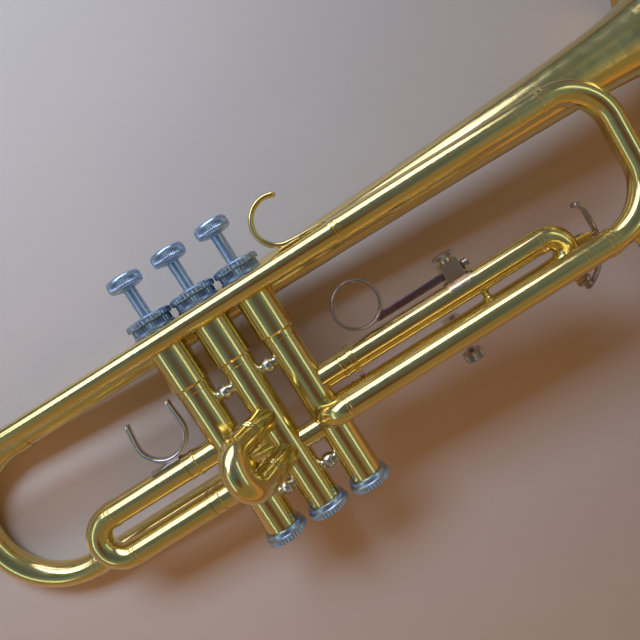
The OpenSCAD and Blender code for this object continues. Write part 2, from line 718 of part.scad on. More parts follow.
// Brass hook for the right little finger, on a long foot along the leadpipe.
module finger_hook() {
    hook = [57.2, 20];
    r = 13.7;
    thick = 2;
    end = 66;
    foot_y = hook[1] - r;
    outside = arc(hook[0], hook[1], r, 270, end, 26);
    inside = arc(hook[0], hook[1], r - thick, 270, end, 26);
    color(brass) lay() translate([0, 0, lead_z]) difference() {
        union() {
            strip(outside, inside, 5);
            translate([hook[0], hook[1], 0]) rotate([0, 0, end]) translate([r - 1.2, 0, 0])
                rod_z(-2.5, 2.5, 1.5);
            translate([0, foot_y, 0]) rotate([90, 0, 0]) translate([0, 0, -thick]) linear_extrude(thick + 2) {
                translate([52, 0]) circle(r = 3, $fn = fn);
                polygon([[52, -3], [66, -2.4], [75, -1], [75, 1], [66, 2.4], [52, 3]]);
            }
        }
        rod_x(40, 80, 6.25 + tiny);
    }
}

// Two posts with broad feet that hold the leadpipe and the bell together.
module leadpipe_braces() {
    spots = [[-62, 5.25, 8.6], [62, 6.15, 10.9]];
    foot_r = 4.4;
    neck_r = 1.9;
    stem = bell_outside(0, throat_from, tiny);
    color(brass) lay() for (s = spots) difference() {
        translate([s[0], 0, 0]) turned_z([[0, -bell_z], [foot_r, -bell_z], [foot_r, -bell_z + s[2] + 0.6],
            [neck_r, -bell_z + s[2] + 3], [neck_r, lead_z - s[1] - 3], [foot_r, lead_z - s[1] - 0.2],
            [foot_r, lead_z], [0, lead_z]]);
        translate([s[0], 0, lead_z]) rod_x(-8, 8, s[1]);
        bell_frame() turned_x(concat([[0, bell_station(0)]], stem, [[0, bell_station(throat_from)]]));
    }
}

// U-shaped hook for the left thumb, on a saddle that rides with the first slide.
module thumb_hook() {
    x = -56;
    r = 14.6;
    thick = 1.8;
    low_y = slide_1_ys[0] + outer_r + 1;
    cy = low_y + r;
    top_y = -29.2;
    left = x - r + 1.6;
    right = x + r - 0.6;
    tip_r = 1.4;
    outside = concat([[left, top_y]], arc(x, cy, r, 180, 360, 24), [[right, top_y]]);
    inside = concat([[left + thick, top_y]], arc(x, cy, r - thick, 180, 360, 24), [[right - thick, top_y]]);
    color(silver) lay() difference() {
        union() {
            strip(outside, inside, 6);
            for (tip = [left + thick - tip_r, right - tip_r]) translate([tip, top_y, 0]) rod_z(-3, 3, tip_r);
            translate([-70, slide_1_ys[0], -4.2]) cube([17, outer_r + 1.8, 8.4]);
        }
        translate([0, slide_1_ys[0], 0]) rod_x(-80, -40, outer_r + tiny);
        translate([-80, slide_1_ys[0] - 10, -10]) cube([40, 14.6, 20]);
    }
}

// Flared post between the two legs of the third slide.
module slide_3_brace() {
    mid = (slide_3_ys[0] + slide_3_ys[1]) / 2;
    color(brass) lay() translate([132.7, 0, 0]) difference() {
        turned_y([[0, mid - 5.4], [4.2, mid - 5.4], [4.2, mid - 3.2], [2.6, mid - 1.6], [2, mid - 0.8],
            [2, mid + 0.8], [2.6, mid + 1.6], [4.2, mid + 3.2], [4.2, mid + 5.4], [0, mid + 5.4]]);
        for (y = slide_3_ys) translate([0, y, 0]) rod_x(-8, 8, outer_r + tiny);
    }
}

// ---------------------------------------------------------------- third slide ring

// Saddle and box that carry the ring's rod on top of the third slide.
module ring_holder() {
    top = rod_line_y + rod_h / 2 + 4;
    color(brass) lay() translate([holder_x, 0, 0]) difference() {
        union() {
            translate([-holder_len / 2, slide_3_ys[0], -holder_w / 2])
                cube([holder_len, top - slide_3_ys[0], holder_w]);
            rod_y(top - 1, screw_seat, boss_r);
            intersection() {
                translate([0, slide_3_ys[0], 0]) rod_x(-6.4, 6.4, outer_r + 0.8);
                translate([-6.4, slide_3_ys[0] + 2.4, -10]) cube([12.8, 8, 20]);
            }
        }
        translate([0, slide_3_ys[0], 0]) rod_x(-20, 20, outer_r + tiny);
        translate([-20, rod_line_y - rod_h / 2 - rod_gap, -rod_w / 2 - rod_gap])
            cube([40, rod_h + 2 * rod_gap, rod_w + 2 * rod_gap]);
        rod_y(rod_line_y, screw_seat + 1, 1.5 + rod_gap);
    }
}

// Finger ring brazed to a flat rod that ends in a stop.
module finger_ring() {
    color(silver) lay() difference() {
        union() {
            translate([ring_x, ring_y, 0]) rod_z(-ring_w / 2, ring_w / 2, ring_r);
            translate([ring_x + 4, rod_line_y - rod_h / 2, -rod_w / 2])
                cube([rod_end - ring_x - 4.5, rod_h, rod_w]);
            translate([0, rod_line_y, 0]) rod_x(rod_end - nut_len, rod_end, nut_r);
        }
        translate([ring_x, ring_y, 0]) rod_z(-ring_w, ring_w, ring_r - ring_wall);
    }
}

// A thumb screw along Y: shaft from tip to the head, and a knurled head.
module knurled_screw(tip, head_from, head_to, shaft_r, head_r) {
    turned_y([[0, tip], [shaft_r - 0.3, tip], [shaft_r, tip + 0.4 * sign(head_from - tip)],
        [shaft_r, head_from],
        [head_r - 0.5, head_from], [head_r, head_from + 0.5 * sign(head_to - head_from)],
        [head_r, head_to - 0.5 * sign(head_to - head_from)], [head_r - 0.5, head_to], [0, head_to]]);
}

module ring_screw() {
    color(nickel) lay() translate([holder_x, 0, 0])
        knurled_screw(rod_line_y + rod_h / 2 + 0.08, screw_seat + 0.1, -39.6, 1.5, ring_screw_r);
}

// Block beside the lower leg with a socket for a music lyre and a cross screw.
module lyre_holder() {
    color(brass) lay() translate([lyre_x, 0, 0]) difference() {
        translate([-4.5, lyre_y - 6.5, -lyre_depth]) cube([9, 13, lyre_depth - 4]);
        translate([0, slide_3_ys[1], 0]) rod_x(-20, 20, outer_r + tiny);
        translate([0, 0, lyre_z]) rod_y(lyre_y - 20, lyre_y + 20, lyre_screw_r + rod_gap);
        translate([0, lyre_y, lyre_socket_z]) rod_x(-20, 20, lyre_socket_r);
    }
}

module lyre_screw() {
    color(nickel) lay() translate([lyre_x, 0, lyre_z])
        knurled_screw(-72.8, -94.9, -101.1, lyre_screw_r, lyre_head_r);
}

// ---------------------------------------------------------------- water keys

// Puts children at the given radius and angle about a bow's centre, with X pointing outwards.
module on_bow(centre, angle, radius) {
    translate([centre[0], centre[1], centre[2]]) rotate([0, 0, angle]) translate([radius, 0, 0]) children();
}

// Nipple, saddle ears and pin that a bow carries for its water key.
module key_seat(centre, outside, nipple_angle, pivot_angle) {
    on_bow(centre, nipple_angle, outside) rod_x(-1.2, nipple_h, nipple_r);
    on_bow(centre, pivot_angle, outside) {
        for (z = [-ear_z - ear_w, ear_z]) translate([-1.4, -2.6, z]) cube([key_pin_h + 3.6, 5.2, ear_w]);
        translate([key_pin_h, 0, 0]) rod_z(-ear_z - ear_w / 2, ear_z + ear_w / 2, key_pin_r);
    }
}

module nipple_bore(centre, outside, nipple_angle) {
    on_bow(centre, nipple_angle, outside) rod_x(-6, nipple_h + 1, 1.4);
}

// Where the curl of a lever has its centre: past the straight stretch that leaves the bow at the turn.
function curl_centre(r, turn) = let (in = r - lever_curl_r)
    [in * cos(turn) - lever_straight * sin(turn), in * sin(turn) + lever_straight * cos(turn)];

// One face of a lever: round the bow, straight on, then curled in to the finger touch.
function lever_face(r, from, turn, grow) = let (c = curl_centre(r, turn)) concat(
    arc(0, 0, r + grow, from, turn, 14), arc(c[0], c[1], lever_curl_r + grow, turn, turn + lever_curl, 8));

// Lever bent round the bow: cup, pivot barrel and finger touch.
module key_lever(centre, outside, angles) {
    nipple_angle = angles[0];
    pivot_angle = angles[1];
    turn = angles[2];
    r = outside + key_reach;
    from = nipple_angle - 4;
    cup_from = nipple_h + cork_h + 0.02;
    cup_r = cork_r + 0.7;
    tip = curl_centre(r, turn);
    difference() {
        union() {
            translate(centre) {
                strip(lever_face(r, from, turn, lever_thick), lever_face(r, from, turn, 0), 4.4);
                translate([tip[0], tip[1], 0]) rotate([0, 0, turn + lever_curl])
                    translate([lever_curl_r + lever_thick / 2, 0, 0]) rod_z(-2.8, 2.8, 1.6);
            }
            on_bow(centre, nipple_angle, outside) turned_x([[0, cup_from], [cup_r, cup_from],
                [cup_r, cup_from + 1.6], [cup_r - 1.4, cup_from + 2.6], [cup_r - 1.8, key_reach + 0.4],
                [0, key_reach + 0.4]]);
            on_bow(centre, pivot_angle, outside) {
                translate([key_pin_h, -1.3, -2]) cube([key_reach + 0.4 - key_pin_h, 2.6, 4]);
                translate([key_pin_h, 0, 0]) rod_z(-ear_z + 0.1, ear_z - 0.1, 2.1);
            }
        }
        on_bow(centre, pivot_angle, outside + key_pin_h) rod_z(-10, 10, key_pin_r + 0.05);
    }
}

module key_cork(centre, outside, nipple_angle) {
    on_bow(centre, nipple_angle, outside) rod_x(nipple_h + tiny, nipple_h + cork_h, cork_r);
}

module main_water_key() {
    color(silver) lay() key_lever(main_centre, main_outside, main_angles);
}

module main_key_cork() {
    color(cork_brown) lay() key_cork(main_centre, main_outside, main_angles[0]);
}

module third_water_key() {
    color(silver) lay() key_lever(third_centre, third_outside, third_angles);
}

module third_key_cork() {
    color(cork_brown) lay() key_cork(third_centre, third_outside, third_angles[0]);
}

mouthpiece();
receiver();
leadpipe();
tuning_sleeves();
valve_elbows();
bell_stem();
bell_throat();
bell_flare();
bow_ferrules();
bell_bow();
bell_leg();
leadpipe_braces();
finger_hook();
casing_1();
casing_2();
casing_3();
valve_knuckles();
casing_spacers();
top_cap_1();
top_cap_2();
top_cap_3();
bottom_cap_1();
bottom_cap_2();
bottom_cap_3();
valve_guides();
cap_felts();
slide_1_inner_tubes();
slide_2_sleeves();
slide_3_inner_tubes();
piston_1();
piston_2();
piston_3();
button_1();
button_2();
button_3();
pearl_1();
pearl_2();
pearl_3();
valve_spring_1();
valve_spring_2();
valve_spring_3();
tuning_legs();
tuning_bow();
main_water_key();
main_key_cork();
slide_1_outer_tubes();
slide_1_bow();
thumb_hook();
slide_2_legs();
slide_2_bow();
slide_3_outer_tubes();
slide_3_bow();
slide_3_brace();
ring_holder();
finger_ring();
ring_screw();
lyre_holder();
lyre_screw();
third_water_key();
third_key_cork();
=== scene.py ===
import json
import math

import bmesh
import bpy
from mathutils import Matrix, Vector


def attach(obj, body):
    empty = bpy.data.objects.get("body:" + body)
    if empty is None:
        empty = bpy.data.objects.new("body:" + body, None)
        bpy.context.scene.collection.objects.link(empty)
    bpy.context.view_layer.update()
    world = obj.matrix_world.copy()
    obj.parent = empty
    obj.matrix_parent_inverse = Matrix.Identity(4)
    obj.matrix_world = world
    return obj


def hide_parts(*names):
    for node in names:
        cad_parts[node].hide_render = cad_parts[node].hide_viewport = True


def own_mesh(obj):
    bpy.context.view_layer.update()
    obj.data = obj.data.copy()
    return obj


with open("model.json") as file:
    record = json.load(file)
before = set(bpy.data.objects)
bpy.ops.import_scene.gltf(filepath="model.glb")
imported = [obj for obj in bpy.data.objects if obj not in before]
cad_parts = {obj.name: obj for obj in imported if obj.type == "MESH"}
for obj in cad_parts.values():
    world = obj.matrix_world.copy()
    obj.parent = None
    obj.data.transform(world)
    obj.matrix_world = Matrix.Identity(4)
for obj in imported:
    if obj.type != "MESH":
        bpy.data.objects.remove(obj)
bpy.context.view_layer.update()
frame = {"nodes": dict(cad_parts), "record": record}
record = frame["record"]
nodes = frame["nodes"]

# ---------------------------------------------------------------- the trumpet's own frame
# X towards the bell, Y towards the buttons, Z the side of the leadpipe, in millimetres.
# It comes from two joint axes and one mount of the record.

joint = {j["name"]: j for j in record["behaviour"]["joints"]}
mount = {m["name"]: m for m in record["mounts"]}
ex = Vector(joint["main_slide_pull"]["axis"]).normalized()
ey = -Vector(joint["valve_2_press"]["axis"]).normalized()
ez = ex.cross(ey)
TURN = Matrix((ex, ey, ez)).transposed()
SOCKET_AT = Vector((112.3, -80.6, -14.6))
ORIGIN = Vector(mount["lyre_socket"]["pos_m"]) - TURN @ SOCKET_AT * 0.001
LAY = Matrix.Translation(ORIGIN) @ TURN.to_4x4() @ Matrix.Scale(0.001, 4)


def at(x, y, z):
    """A point of the trumpet frame, in metres in the row frame."""
    return LAY @ Vector((x, y, z))


# ---------------------------------------------------------------- camera
# It looks straight down on the valves from close by, with the trumpet slanting up to the right.
VIEW_X, VIEW_Y, VIEW_H = 49.4, -35.0, 300.0
VIEW_ROLL = math.radians(5)
VIEW_TURN = math.radians(32)
SENSOR_MM = 36
FOCAL_SHARE = 568 / 640
up_y = Vector((0, math.cos(VIEW_ROLL), -math.sin(VIEW_ROLL)))
up_z = Vector((0, math.sin(VIEW_ROLL), math.cos(VIEW_ROLL)))
eye = LAY @ (Vector((VIEW_X, 0, 0)) + up_y * VIEW_Y + up_z * VIEW_H)
cos_turn, sin_turn = math.cos(VIEW_TURN), math.sin(VIEW_TURN)
right = TURN @ (Vector((cos_turn, 0, 0)) - up_y * sin_turn)
up = TURN @ (Vector((sin_turn, 0, 0)) + up_y * cos_turn)
back = TURN @ up_z

cam_data = bpy.data.cameras.new("camera")
cam = bpy.data.objects.new("camera", cam_data)
bpy.context.scene.collection.objects.link(cam)
turn = Matrix((right, up, back)).transposed().to_4x4()
cam.matrix_world = Matrix.Translation(eye) @ turn
cam_data.sensor_width = SENSOR_MM
cam_data.lens = SENSOR_MM * FOCAL_SHARE
cam_data.clip_start = 0.01
bpy.context.scene.camera = cam
bpy.context.scene.view_settings.view_transform = "Standard"


def link(name, mesh):
    obj = bpy.data.objects.new(name, mesh)
    bpy.context.scene.collection.objects.link(obj)
    return obj


# ---------------------------------------------------------------- materials
BUMP_DEPTH = 0.0002


class Nodes:
    """Short calls for building one material's nodes."""

    def __init__(self, name):
        self.mat = bpy.data.materials.new(name)
        self.mat.use_nodes = True
        self.nt = self.mat.node_tree
        self.nt.nodes.clear()
        self.coord = self.add("ShaderNodeTexCoord")

    def add(self, kind, inputs=None, **settings):
        node = self.nt.nodes.new(kind)
        for key, value in settings.items():
            setattr(node, key, value)
        for key, value in (inputs or {}).items():
            socket = node.inputs[key]
            if isinstance(value, bpy.types.NodeSocket):
                self.nt.links.new(value, socket)
            else:
                socket.default_value = value
        return node

    def grain(self, along, across, axis):
        """Object coordinates scaled little along the axis and much across it, for drawn or turned grain."""
        parts = []
        for direction in (ex, ey, ez):
            scale = along if direction == axis else across
            inputs = {0: self.coord.outputs["Object"], 1: direction * scale}
            dot = self.add("ShaderNodeVectorMath", inputs, operation="DOT_PRODUCT")
            parts.append(dot.outputs["Value"])
        return self.add("ShaderNodeCombineXYZ", {0: parts[0], 1: parts[1], 2: parts[2]}).outputs[0]

    def noise(self, scale, detail=2.0, rough=0.5, vector=None):
        inputs = {"Vector": vector or self.coord.outputs["Object"],
                  "Scale": scale, "Detail": detail, "Roughness": rough}
        return self.add("ShaderNodeTexNoise", inputs).outputs[0]

    def ramp(self, value, stops):
        """Colour of a value between two stops, each a position and a colour."""
        node = self.add("ShaderNodeValToRGB", {"Fac": value})
        for element, (position, colour) in zip(node.color_ramp.elements, stops):
            element.position = position
            element.color = (*colour, 1)
        return node.outputs[0]

    def spread(self, value, low, high, to_low, to_high):
        inputs = {0: value, 1: low, 2: high, 3: to_low, 4: to_high}
        return self.add("ShaderNodeMapRange", inputs).outputs[0]

    def mix(self, fac, a, b):
        node = self.add("ShaderNodeMix", data_type="RGBA")
        for key, value in ((0, fac), (6, a), (7, b)):
            if isinstance(value, bpy.types.NodeSocket):
                self.nt.links.new(value, node.inputs[key])
            else:
                node.inputs[key].default_value = value if key == 0 else (*value, 1)
        return node.outputs[2]

    def math(self, operation, a, b):
        return self.add("ShaderNodeMath", {0: a, 1: b}, operation=operation).outputs[0]

    def bump(self, height, strength):
        inputs = {"Height": height, "Strength": strength, "Distance": BUMP_DEPTH}
        return self.add("ShaderNodeBump", inputs).outputs[0]

    def finish(self, **inputs):
        """Close the material: keywords are the Principled BSDF's inputs, with _ for a space."""
        shader = self.add("ShaderNodeBsdfPrincipled")
        for key, value in inputs.items():
            socket = shader.inputs[key.replace("_", " ")]
            if isinstance(value, bpy.types.NodeSocket):
                self.nt.links.new(value, socket)
            else:
                socket.default_value = (*value, 1) if isinstance(value, tuple) else value
        self.add("ShaderNodeOutputMaterial", {"Surface": shader.outputs[0]})
        return self.mat


def lacquered_brass(name, axis):
    """Yellow brass under lacquer: clouding, smears, a few worn brown specks and grain along the axis."""
    n = Nodes(name)
    base = n.ramp(n.noise(28, 3, 0.55), [(0.3, (0.77, 0.64, 0.24)), (0.7, (0.85, 0.73, 0.31))])
    lines = n.noise(1.0, 3, 0.6, n.grain(9, 1100, axis))
    base = n.mix(n.spread(lines, 0.35, 0.65, 0.0, 0.28), base, (0.62, 0.44, 0.13))
    worn = n.spread(n.noise(900, 2, 0.6), 0.70, 0.78, 0, 0.5)
    base = n.mix(worn, base, (0.45, 0.28, 0.09))
    rough = n.spread(n.noise(170, 4, 0.6), 0.3, 0.7, 0.12, 0.22)
    height = n.math("ADD", n.math("MULTIPLY", lines, 0.25), n.noise(90, 2, 0.5))
    return n.finish(Base_Color=base, Metallic=1.0, Roughness=rough, Normal=n.bump(height, 0.12),
                    Coat_Weight=0.35, Coat_Roughness=0.12, Coat_IOR=1.45)


def plated(name, light, dark, smoothest, roughest, specks=0.4, bump=0.06):
    """Plated or bare metal: cloudy tone, tarnish specks, painted shade darkening its grooves and fine
    handling marks.
    """
    n = Nodes(name)
    base = n.ramp(n.noise(90, 3, 0.6), [(0.35, dark), (0.65, light)])
    tarnish = n.spread(n.noise(500, 3, 0.6), 0.60, 0.75, 0, specks)
    base = n.mix(tarnish, base, tuple(x * 0.62 for x in dark))
    # Painted shade: the colour darkens where the surface is hollow, in grooves and creases, standing in for
    # occlusion.
    pointiness = n.add("ShaderNodeNewGeometry").outputs["Pointiness"]
    painted_groove_shade = n.spread(pointiness, 0.40, 0.49, 0.85, 0)
    base = n.mix(painted_groove_shade, base, tuple(x * 0.25 for x in dark))
    rough = n.spread(n.noise(260, 4, 0.6), 0.3, 0.7, smoothest, roughest)
    marks = n.bump(n.noise(1800, 2, 0.5), bump)
    return n.finish(Base_Color=base, Metallic=1.0, Roughness=rough, Normal=marks)


def simple(name, light, dark, rough, scale, **more):
    """Non-metal with mottled tone and a grainy surface at the given scale."""
    n = Nodes(name)
    base = n.ramp(n.noise(scale, 4, 0.6), [(0.35, dark), (0.65, light)])
    uneven = n.spread(n.noise(scale * 3, 3, 0.6), 0.3, 0.7, rough * 0.8, min(1.0, rough * 1.2))
    pores = n.bump(n.noise(scale * 6, 3, 0.6), 0.3)
    return n.finish(Base_Color=base, Roughness=uneven, Normal=pores, **more)


MATERIALS = {
    "lacquered_brass": lacquered_brass("lacquered_brass", ex),
    # The nickel's blue tint is painted reflection of the cool window sky, put into its base colour.
    "nickel": plated("nickel", (0.47, 0.62, 0.86), (0.43, 0.57, 0.79), 0.28, 0.35, 0.06, 0.006),
    "silver_plate": plated("silver_plate", (0.90, 0.88, 0.86), (0.80, 0.78, 0.75), 0.07, 0.16),
    "piston_metal": plated("piston_metal", (0.70, 0.70, 0.71), (0.62, 0.62, 0.64), 0.22, 0.34),
    "spring_steel": plated("spring_steel", (0.46, 0.46, 0.50), (0.36, 0.36, 0.40), 0.25, 0.40),
    "pearl": simple("pearl", (0.93, 0.92, 0.90), (0.80, 0.80, 0.86), 0.18, 300, Coat_Weight=0.6),
    "cork": simple("cork", (0.62, 0.44, 0.26), (0.36, 0.22, 0.11), 0.85, 1400),
    "felt": simple("felt", (0.48, 0.05, 0.07), (0.32, 0.03, 0.05), 0.95, 2600),
    "nylon": simple("nylon", (0.85, 0.84, 0.78), (0.75, 0.73, 0.66), 0.45, 500),
}
casing_brass = lacquered_brass("casing_brass", ey)
plated_wire = plated("plated_wire", (0.50, 0.42, 0.38), (0.38, 0.31, 0.28), 0.16, 0.26, 0.3, 0.03)
# The rod's dark purple-brown is painted reflection of the dark room overhead, put into its base colour.
rod_painted_reflection = plated("rod_painted_reflection", (0.34, 0.23, 0.22), (0.22, 0.14, 0.14), 0.24, 0.32, 0.1, 0.01)
bright_wire = plated("bright_wire", (0.74, 0.71, 0.70), (0.60, 0.57, 0.56), 0.14, 0.24, 0.3, 0.03)
holder_metal = plated("holder_metal", (0.80, 0.64, 0.42), (0.66, 0.50, 0.31), 0.16, 0.26, 0.3, 0.02)
drawn_tube = plated("drawn_tube", (0.76, 0.74, 0.68), (0.66, 0.64, 0.58), 0.14, 0.24)

slot_of = {p["node"]: p["material_slot"] for p in record["subparts"]}
for name, obj in nodes.items():
    obj.data.materials.clear()
    finish = MATERIALS[slot_of[name]]
    if name == "casing_spacers":
        finish = drawn_tube
    elif name.startswith("casing_"):
        finish = casing_brass
    obj.data.materials.append(finish)
    for p in obj.data.polygons:
        p.material_index = 0

# The sliding part of each inner tube is bare nickel silver inside its brass ferrule.
UNLAY = LAY.inverted()
INNER_R = 6.42
LEAD_Z = 18
for name, ys, z in (("slide_1_inner_tubes", (-64.7, -88.8), 0),
                    ("slide_3_inner_tubes", (-61.9, -80.1), 0),
                    ("tuning_legs", (0, -78.6), LEAD_Z)):
    obj = nodes[name]
    obj.data.materials.append(drawn_tube)
    for p in obj.data.polygons:
        q = UNLAY @ p.center
        if min(math.hypot(q.y - y, q.z - z) for y in ys) < INNER_R:
            p.material_index = 1

# ---------------------------------------------------------------- mesh tools


def mesh_object(name, points, faces, material, smooth_angle=30):
    """A smooth-shaded mesh with creases where its faces meet at more than smooth_angle degrees."""
    mesh = bpy.data.meshes.new(name)
    mesh.from_pydata(points, [], faces)
    mesh.validate()
    bm = bmesh.new()
    bm.from_mesh(mesh)
    bmesh.ops.recalc_face_normals(bm, faces=bm.faces)
    for f in bm.faces:
        f.smooth = True
    limit = math.radians(smooth_angle)
    for e in bm.edges:
        if len(e.link_faces) == 2 and e.calc_face_angle(0) > limit:
            e.smooth = False
    bm.to_mesh(mesh)
    bm.free()
    mesh.materials.append(material)
    return link(name, mesh)


SAME_POINT = 1e-7
SECTION_SIDES = 24
END_ANGLES = (28, 52, 74)


def turned(name, origin, axis, outline, material, bands=(), ridges=16, depth=0.0):
    """A piece turned about the axis through origin, from a closed outline in mm.

    The outline's points are (radius, distance along the axis). Between the limits of each band the
    radius is cut by that many V grooves of the given depth.
    """
    axis, origin = Vector(axis).normalized(), Vector(origin)
    side = axis.orthogonal().normalized()
    other = axis.cross(side)
    wave = (0.0, 0.6, 1.0, 0.6)
    steps = ridges * len(wave)
    points, faces = [], []
    for k in range(steps):
        a = 2 * math.pi * k / steps
        out = side * math.cos(a) + other * math.sin(a)
        for r, s in outline:
            cut = depth * wave[k % len(wave)] if any(lo <= s <= hi for lo, hi in bands) else 0
            points.append(LAY @ (origin + out * (r - cut) + axis * s))
    m = len(outline)
    for k in range(steps):
        k2 = (k + 1) % steps
        for i in range(m):
            j = (i + 1) % m
            if outline[i][0] or outline[j][0]:
                faces.append((k * m + i, k * m + j, k2 * m + j, k2 * m + i))
    obj = mesh_object(name, points, faces, material)
    bm = bmesh.new()
    bm.from_mesh(obj.data)
    bmesh.ops.remove_doubles(bm, verts=bm.verts, dist=SAME_POINT)
    bm.to_mesh(obj.data)
    bm.free()
    return obj


def section(thick, width, power):
    """Closed outline of a bar's section, from a rounded rectangle (low power) to an ellipse (1)."""
    outline = []
    for i in range(SECTION_SIDES):
        a = 2 * math.pi * i / SECTION_SIDES
        u, v = math.cos(a), math.sin(a)
        outline.append((thick / 2 * math.copysign(abs(u) ** power, u),
                        width / 2 * math.copysign(abs(v) ** power, v)))
    return outline


def swept(name, route, thick, width, z, material, power=0.6, closed=False):
    """A bar bent along a route of (x, y) points in the plane at z, with rounded ends.

    thick lies in that plane and width stands across it. Each may be a function of the share of the
    route that is done.
    """
    path = [Vector(p) for p in route]
    total = sum((b - a).length for a, b in zip(path, path[1:]))
    rings, gone = [], 0.0
    last = len(path) - 1
    for i, p in enumerate(path):
        before = path[i - 1] if i or closed else path[0]
        after = path[(i + 1) % len(path)] if i < last or closed else path[last]
        t = (after - before).normalized()
        if i:
            gone += (p - path[i - 1]).length
        share = gone / total
        th = thick(share) if callable(thick) else thick
        wi = width(share) if callable(width) else width
        rings.append((p, t, th, wi))
    if not closed:
        def cap(ring, sign):
            p, t, th, wi = ring
            return [(p + t * sign * min(th, wi) / 2 * math.sin(math.radians(a)), t,
                     th * math.cos(math.radians(a)), wi * math.cos(math.radians(a)))
                    for a in END_ANGLES]
        rings = cap(rings[0], -1)[::-1] + rings + cap(rings[-1], 1)
    points, faces = [], []
    for p, t, th, wi in rings:
        n = Vector((-t.y, t.x))
        for u, v in section(th, wi, power):
            points.append(at(p.x + n.x * u, p.y + n.y * u, z + v))
    m, count = SECTION_SIDES, len(rings)
    for k in range(count if closed else count - 1):
        k2 = (k + 1) % count
        for i in range(m):
            j = (i + 1) % m
            faces.append((k * m + i, k * m + j, k2 * m + j, k2 * m + i))
    if not closed:
        faces.append(tuple(range(m - 1, -1, -1)))
        faces.append(tuple((count - 1) * m + i for i in range(m)))
    return mesh_object(name, points, faces, material, 60)


def block(name, lo, hi, edge, material):
    """A rectangular block between two corners of the trumpet frame, with rounded edges."""
    bm = bmesh.new()
    bmesh.ops.create_cube(bm, size=1)
    for v in bm.verts:
        v.co = Vector([lo[k] + (hi[k] - lo[k]) * (v.co[k] + 0.5) for k in range(3)])
    bmesh.ops.bevel(bm, geom=bm.edges[:], offset=edge, segments=3, affect="EDGES", profile=0.5)
    points = [LAY @ v.co for v in bm.verts]
    index = {v: i for i, v in enumerate(bm.verts)}
    faces = [tuple(index[v] for v in f.verts) for f in bm.faces]
    bm.free()
    return mesh_object(name, points, faces, material, 40)


def joined(name, parts):
    """The parts as one object of that name."""
    bpy.ops.object.select_all(action="DESELECT")
    for p in parts:
        p.select_set(True)
    bpy.context.view_layer.objects.active = parts[0]
    bpy.ops.object.join()
    parts[0].name = name
    parts[0].data.name = name
    return parts[0]


def arc_points(cx, cy, r, start, end, n):
    """n + 1 points along an arc, with its angles in degrees."""
    return [(cx + r * math.cos(math.radians(start + (end - start) * i / n)),
             cy + r * math.sin(math.radians(start + (end - start) * i / n))) for i in range(n + 1)]


def stand_in(piece, node, body):
    """Let a piece stand for a CAD node and move with its body."""
    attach(piece, body)
    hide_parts(node)


# ---------------------------------------------------------------- turned pieces with knurling
PITCH = 26.8
KNURL = 0.4
SCREW_KNURL = 0.35
UPWARD = (0, 1, 0)

# Stem, flared underside, knurled rim and the seat of the pearl.
button_outline = [(0, 1.1), (3.3, 1.1), (3.3, 3.4), (2.75, 3.6), (2.75, 4.0), (3.35, 4.2),
                  (3.35, 31.3), (3.9, 31.7), (5.5, 31.9), (5.6, 32.2), (7.6, 32.4), (8.7, 32.7),
                  (9.2, 33.1), (9.45, 33.7), (9.5, 34.0), (9.5, 34.6), (9.5, 36.4), (9.5, 37.2),
                  (9.45, 37.8), (9.2, 38.5), (8.8, 39.0), (8.2, 39.25), (7.6, 39.3),
                  (7.21, 39.15), (7.21, 37.9), (0, 37.9)]
# Foot ring, fluted waist, knurled rim, low dome and the stem's hole.
cap_outline = [(10.63, 6.0), (11.7, 6.0), (12.0, 6.3), (12.0, 7.2), (11.7, 7.5), (11.35, 7.7),
               (11.35, 10.6), (11.7, 10.9), (12.6, 11.1), (12.9, 11.5), (13.0, 12.0), (13.0, 13.3),
               (12.9, 13.9), (12.5, 14.4), (11.6, 14.7), (9.5, 14.9), (6.6, 15.0), (5.8, 15.0),
               (3.7, 15.0), (3.7, 11.8), (10.63, 11.8)]
# Domed end with its air hole, knurled rim and a plain collar over the casing.
foot_outline = [(2.5, -126.4), (4.6, -126.4), (6.6, -126.2), (9.6, -125.9), (11.2, -125.5),
                (11.8, -125.0), (12.0, -124.5), (12.0, -122.6), (11.8, -122.1), (11.4, -121.8),
                (11.1, -121.5), (11.1, -119.6), (10.9, -119.2), (10.4, -119.0), (9.38, -119.0),
                (9.38, -121.01), (8.0, -121.01), (8.0, -123.6), (2.5, -124.4)]
for i in (1, 2, 3):
    x = (i - 2) * PITCH
    for name, outline, bands, ridges, rides in (
            ("button", button_outline, [(34.2, 36.9)], 60, f"valve_{i}"),
            ("top_cap", cap_outline, [(7.6, 10.7), (11.4, 13.6)], 40, "body"),
            ("bottom_cap", foot_outline, [(-124.8, -122.3)], 44, "body")):
        piece = turned(f"knurled_{name}_{i}", (x, 0, 0), UPWARD, outline, MATERIALS["nickel"],
                       bands, ridges, KNURL)
        stand_in(piece, f"{name}_{i}", rides)

ring_screw_outline = [(0, -48.32), (1.2, -48.32), (1.5, -48.0), (1.5, -42.35), (5.0, -42.35),
                      (5.6, -42.15), (5.85, -41.8), (5.85, -41.4), (5.85, -40.4), (5.7, -39.95),
                      (5.3, -39.65), (4.6, -39.6), (0, -39.6)]
stand_in(turned("knurled_ring_screw", (122.7, 0, 0), UPWARD, ring_screw_outline, plated_wire,
                [(-41.9, -40.3)], 36, SCREW_KNURL), "ring_screw", "ring_lock")
lyre_screw_outline = [(0, -72.8), (1.3, -72.8), (1.6, -73.2), (1.6, -94.9), (4.6, -94.9),
                      (5.3, -95.1), (5.6, -95.5), (5.6, -96.0), (5.6, -100.0), (5.5, -100.6),
                      (5.1, -101.0), (4.4, -101.1), (0, -101.1)]
stand_in(turned("knurled_lyre_screw", (112.3, 0, -9.4), UPWARD, lyre_screw_outline, plated_wire,
                [(-100.1, -95.9)], 36, SCREW_KNURL), "lyre_screw", "lyre_lock")

